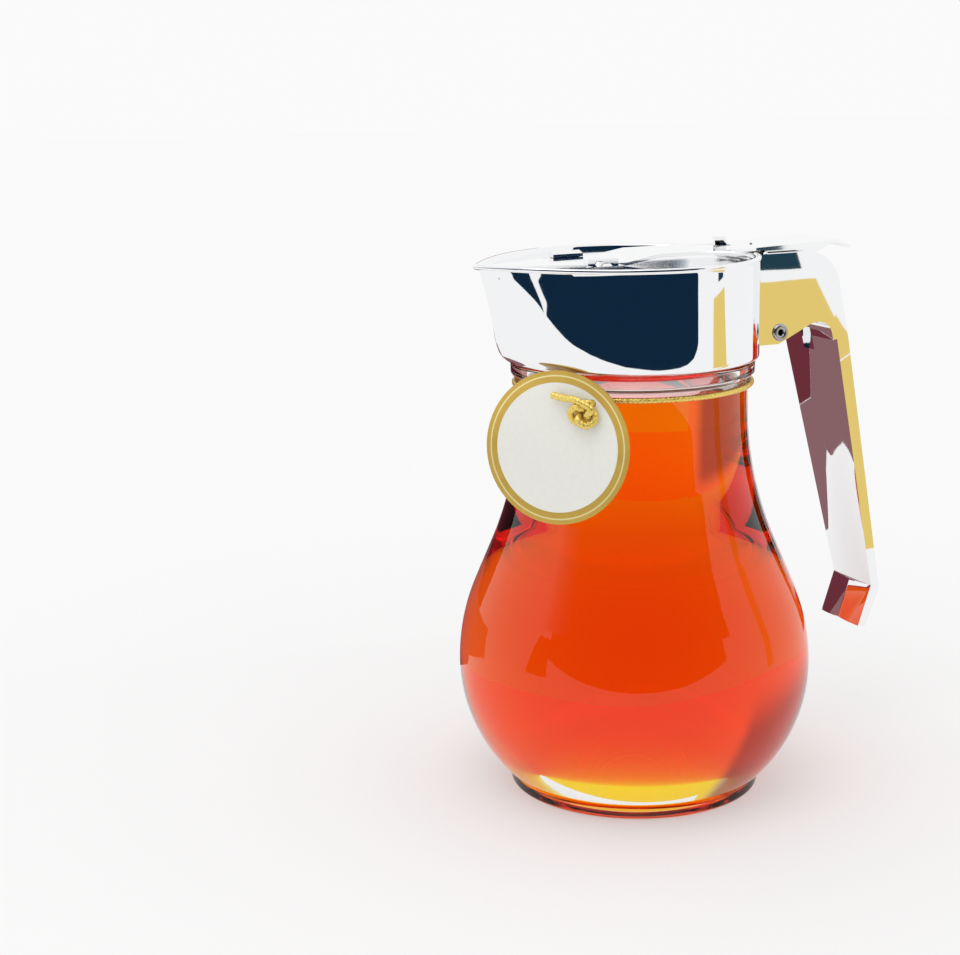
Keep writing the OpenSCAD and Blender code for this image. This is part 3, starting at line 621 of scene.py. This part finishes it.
# Inside the head, and hardly seen: a white moulded ring that grips the jar's mouth, a
# grey rubber gasket, two plated screws, two moulded sleeves and a torsion spring of
# steel wire. They keep the shapes of their solids.
moulded, surface, place = finish("moulded_white", Roughness=0.45)
place.noise(700, 4).blend(paint((232, 232, 228)), paint((240, 240, 237))).into(
    surface, "Base Color")
gasket, surface, place = finish("grey_gasket", Roughness=0.7)
place.noise(1200, 4).blend(paint((84, 84, 86)), paint((98, 98, 100))).into(
    surface, "Base Color")
wire, surface, place = finish("spring_wire", Base_Color=(0.3, 0.3, 0.31, 1), Metallic=1.0)
(place.noise(3000, 3) * 0.2 + 0.2).into(surface, "Roughness")
for name, material in (("threaded_collar", moulded), ("rivet_spacers", moulded),
                       ("neck_seal", gasket), ("handle_screws", plated),
                       ("return_spring", wire)):
    nodes[name].data.materials.clear()
    nodes[name].data.materials.append(material)


# The studio. A pale table under even soft light. Round the object stand cards that
# only its mirroring surfaces see: dark, white, yellow, teal, mauve and maroon. Behind
# and under the jar are red, gold and amber cards that only rays through clear
# material see, and they colour the honey and the foot.


def sheet(name, grid, colour, strength=1.0, rays=("glossy",)):
    """A card over a grid of points in millimetres, seen only by these rays."""
    grid = np.asarray(grid, float)
    rows, across = grid.shape[:2]
    row, place = np.arange(rows - 1)[:, None], np.arange(across - 1)[None, :]
    corner = row * across + place
    quads = np.stack([corner, corner + 1, corner + across + 1, corner + across], -1)
    mesh = bpy.data.meshes.new(name)
    mesh.from_pydata((grid.reshape(-1, 3) * mm).tolist(), [], quads.reshape(-1, 4).tolist())
    piece = bpy.data.objects.new(name, mesh)
    bpy.context.scene.collection.objects.link(piece)
    stuff = bpy.data.materials.new(name)
    stuff.use_nodes = True
    tree = stuff.node_tree
    tree.nodes.clear()
    glow = tree.nodes.new("ShaderNodeEmission")
    glow.inputs["Color"].default_value = colour
    glow.inputs["Strength"].default_value = strength
    out = tree.nodes.new("ShaderNodeOutputMaterial")
    tree.links.new(glow.outputs[0], out.inputs["Surface"])
    mesh.materials.append(stuff)
    if "all" not in rays:
        piece.visible_camera = False
        piece.visible_shadow = False
        piece.visible_diffuse = False
        piece.visible_volume_scatter = False
        piece.visible_glossy = "glossy" in rays
        piece.visible_transmission = "transmission" in rays
    piece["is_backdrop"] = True
    return piece


def stand(reach, bearing, height):
    """Points in millimetres on a round wall of this reach, at a bearing in degrees."""
    turn = np.radians(bearing)
    return np.stack([reach * np.sin(turn), -reach * np.cos(turn), height + 0 * turn], -1)


def upright(start, end, low, high):
    """Corners of an upright card over the line on the table from start to end."""
    return [[(*start, low), (*end, low)], [(*start, high), (*end, high)]]


# The dark wall: a low part with a hollow lower edge, a piece that closes its left side,
# a middle part, and a high part that fades out towards the left.
wall_r = 290
low_top, high_foot, sky = 108, 126, 330
dark_paint, pale_paint = np.array([14, 38, 60]), np.array([240, 242, 244])
dark = paint(dark_paint)
bearing = np.linspace(-81, 29, 90)
low_edge = 2 + 60 * np.abs((bearing + 25) / 56) ** 2.2
sheet("dark_card_low", [stand(wall_r, bearing, low_edge),
                        stand(wall_r, bearing, low_top)], dark)
sheet("dark_card_side", [stand(wall_r, np.array([-96, -81]), 14),
                         stand(wall_r, np.array([-89, -81]), low_top)], dark)
bearing = np.linspace(-81, 35, 60)
sheet("dark_card_middle", [stand(wall_r, bearing, low_top),
                           stand(wall_r, bearing, high_foot)], dark)
bearing = np.linspace(-70, 35, 60)
sheet("dark_card_high", [stand(wall_r, bearing, high_foot),
                         stand(wall_r, bearing, sky)], dark)
fade = np.linspace(-90, -70, 11)
for step in range(10):
    ends = fade[step:step + 2]
    sheet("fading_card_%d" % step,
          [stand(wall_r, ends, high_foot), stand(wall_r, ends, sky)],
          paint(pale_paint + (dark_paint - 242) * (step + 0.5) / 10))

# A white card close to the head. Its curved top edge is what shows as the end of the
# dark reflection on the spout and the cap. Edge as [bearing, height].
near_r, near_foot = 60, 99.5
near_edge = np.array([
    (-88, 127), (-82.4, 125.1), (-79.2, 123.1), (-75.8, 120.8), (-72.7, 119.2),
    (-69.2, 116.8), (-64.1, 114.4), (-59.1, 112.6), (-51.3, 110), (-45.8, 109.2),
    (-31.8, 107.4), (-13.5, 107.9), (2.8, 108.5), (8.5, 109.2), (12.9, 110.6),
    (15.2, 112.6), (17, 116)])
bearing = np.linspace(-88, 17, 120)
near_top = np.interp(bearing, near_edge[:, 0], near_edge[:, 1])
sheet("near_card", [stand(near_r, bearing, near_foot), stand(near_r, bearing, near_top)],
      paint((248, 249, 249)))

# The yellow cards, with a teal one over them, beside the handle's cheek and arm. A
# mauve and a maroon card behind the jar, and a mauve strip along the table.
yellow, mauve = paint((232, 204, 116)), paint((138, 100, 104))
maroon, teal = paint((108, 48, 58)), paint((34, 62, 76))
aside = -75
sheet("yellow_card", [[(54, aside, 93), (104, aside, 93)],
                      [(54, aside, 121), (88, aside, 121)]], yellow)
sheet("yellow_card_low", [[(92, aside, 26), (124, aside, 26)],
                          [(86, aside, 92.5), (118, aside, 92.5)]], yellow)
sheet("teal_card", [[(66, aside, 124.5), (83, aside, 124.2)],
                    [(66, aside, 133), (80, aside, 133)]], teal)
back_end = (34.5, 128)
sheet("mauve_card", upright((-182, 167), back_end, 0, 45), mauve)
sheet("maroon_card", upright((-100, 152.2), back_end, 45.2, 142), maroon)
sheet("mauve_strip", [[(-70, 121, 0.4), (0, 101, 0.4)],
                      [(-86, 150, 0.4), (8, 132, 0.4)]], mauve)

# What is seen through the honey and the glass: a red card whose right lower corner
# goes over into gold, a gold one beside it, and an amber round under the foot.
through_clear = ("transmission",)
gold_light = paint((255, 212, 14))
red_card = sheet("red_card", upright((-86, 150), (40, 127), 0, sky), gold_light,
                 rays=through_clear)
tree = red_card.data.materials[0].node_tree
place = Flow(tree, tree.nodes.new("ShaderNodeTexCoord").outputs["Object"])
leftwards = place.node("ShaderNodeSeparateXYZ", None, {0: place}, output="X").between(
    38 * mm, 28 * mm)
upwards = place.node("ShaderNodeSeparateXYZ", None, {0: place}, output="Z").between(
    0, 26 * mm)
(leftwards * upwards).blend(gold_light, paint((176, 124, 112))).into(
    tree.nodes["Emission"], "Color")
sheet("gold_card", upright((32, 132), (330, 78), 0, 60), gold_light, rays=through_clear)
bearing = np.linspace(0, 2 * pi, 60)
under = np.stack([np.cos(bearing), np.sin(bearing), 0 * bearing], -1)
sheet("amber_glow", [under * 0.5 + [0, 0, -0.1], under * 31 + [0, 0, -0.1]],
      paint((238, 176, 44)), rays=through_clear)

# The table. Round the jar it is lit, with a painted glow mixed in that lightens the jar's
# shadow on it; further off the glow grows, and far off it is as white as the air.
plain_r, far_r = 0.04, 0.32
least_painted_glow = 0.38
half, low = 4000, -0.15
table = sheet("pale_table", [[(-half, -half, low), (half, -half, low)],
                             [(-half, half, low), (half, half, low)]],
              paint((0, 0, 0)), rays=("all",))
pale, surface, place = finish("pale_table", Base_Color=(0.94, 0.94, 0.935, 1),
                              Roughness=0.7, Specular_IOR_Level=0.1)
away = place.node("ShaderNodeVectorMath", {"operation": "LENGTH"}, {0: place}, output=1)
# Share of the painted glow: the least share round the jar, where it lightens the shadow,
# rising to the whole far off.
white = away.between(plain_r, far_r) * (1 - least_painted_glow) + least_painted_glow
lit = Flow(place.tree, surface.outputs[0])
glow = place.node("ShaderNodeEmission", None, {"Color": (1, 1, 1, 1), "Strength": 0.95})
place.node("ShaderNodeMixShader", None, {0: white, 1: lit, 2: glow}).into(
    pale.node_tree.nodes["Material Output"], "Surface")
table.data.materials.clear()
table.data.materials.append(pale)

# The air. It looks a little brighter than it shines on things that are not clear or
# mirroring, and a large soft lamp stands over the viewer's left.
air_light, air_seen = 0.89, 0.07
world = bpy.data.worlds.new("studio")
bpy.context.scene.world = world
world.use_nodes = True
air = world.node_tree.nodes["Background"]
air.inputs["Color"].default_value = (1, 1, 1, 1)
way = world.node_tree.nodes.new("ShaderNodeLightPath")
seen = (Flow(world.node_tree, way.outputs["Is Camera Ray"])
        + Flow(world.node_tree, way.outputs["Is Glossy Ray"])
        + Flow(world.node_tree, way.outputs["Is Transmission Ray"]))
((seen > 0.5) * air_seen + air_light).into(air, "Strength")

lamp = bpy.data.objects.new("soft_lamp", bpy.data.lights.new("soft_lamp", "AREA"))
bpy.context.scene.collection.objects.link(lamp)
lamp.data.shape = "RECTANGLE"
lamp.data.size, lamp.data.size_y = 0.7, 0.5
lamp.data.energy = 1.2
lamp.location = (-0.35, -0.25, 0.75)
lamp.rotation_mode = "QUATERNION"
lamp.rotation_quaternion = (lamp.location - Vector((0, 0, 0.06))).to_track_quat("Z", "Y")

bpy.context.scene.view_settings.view_transform = "Standard"

low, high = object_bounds()
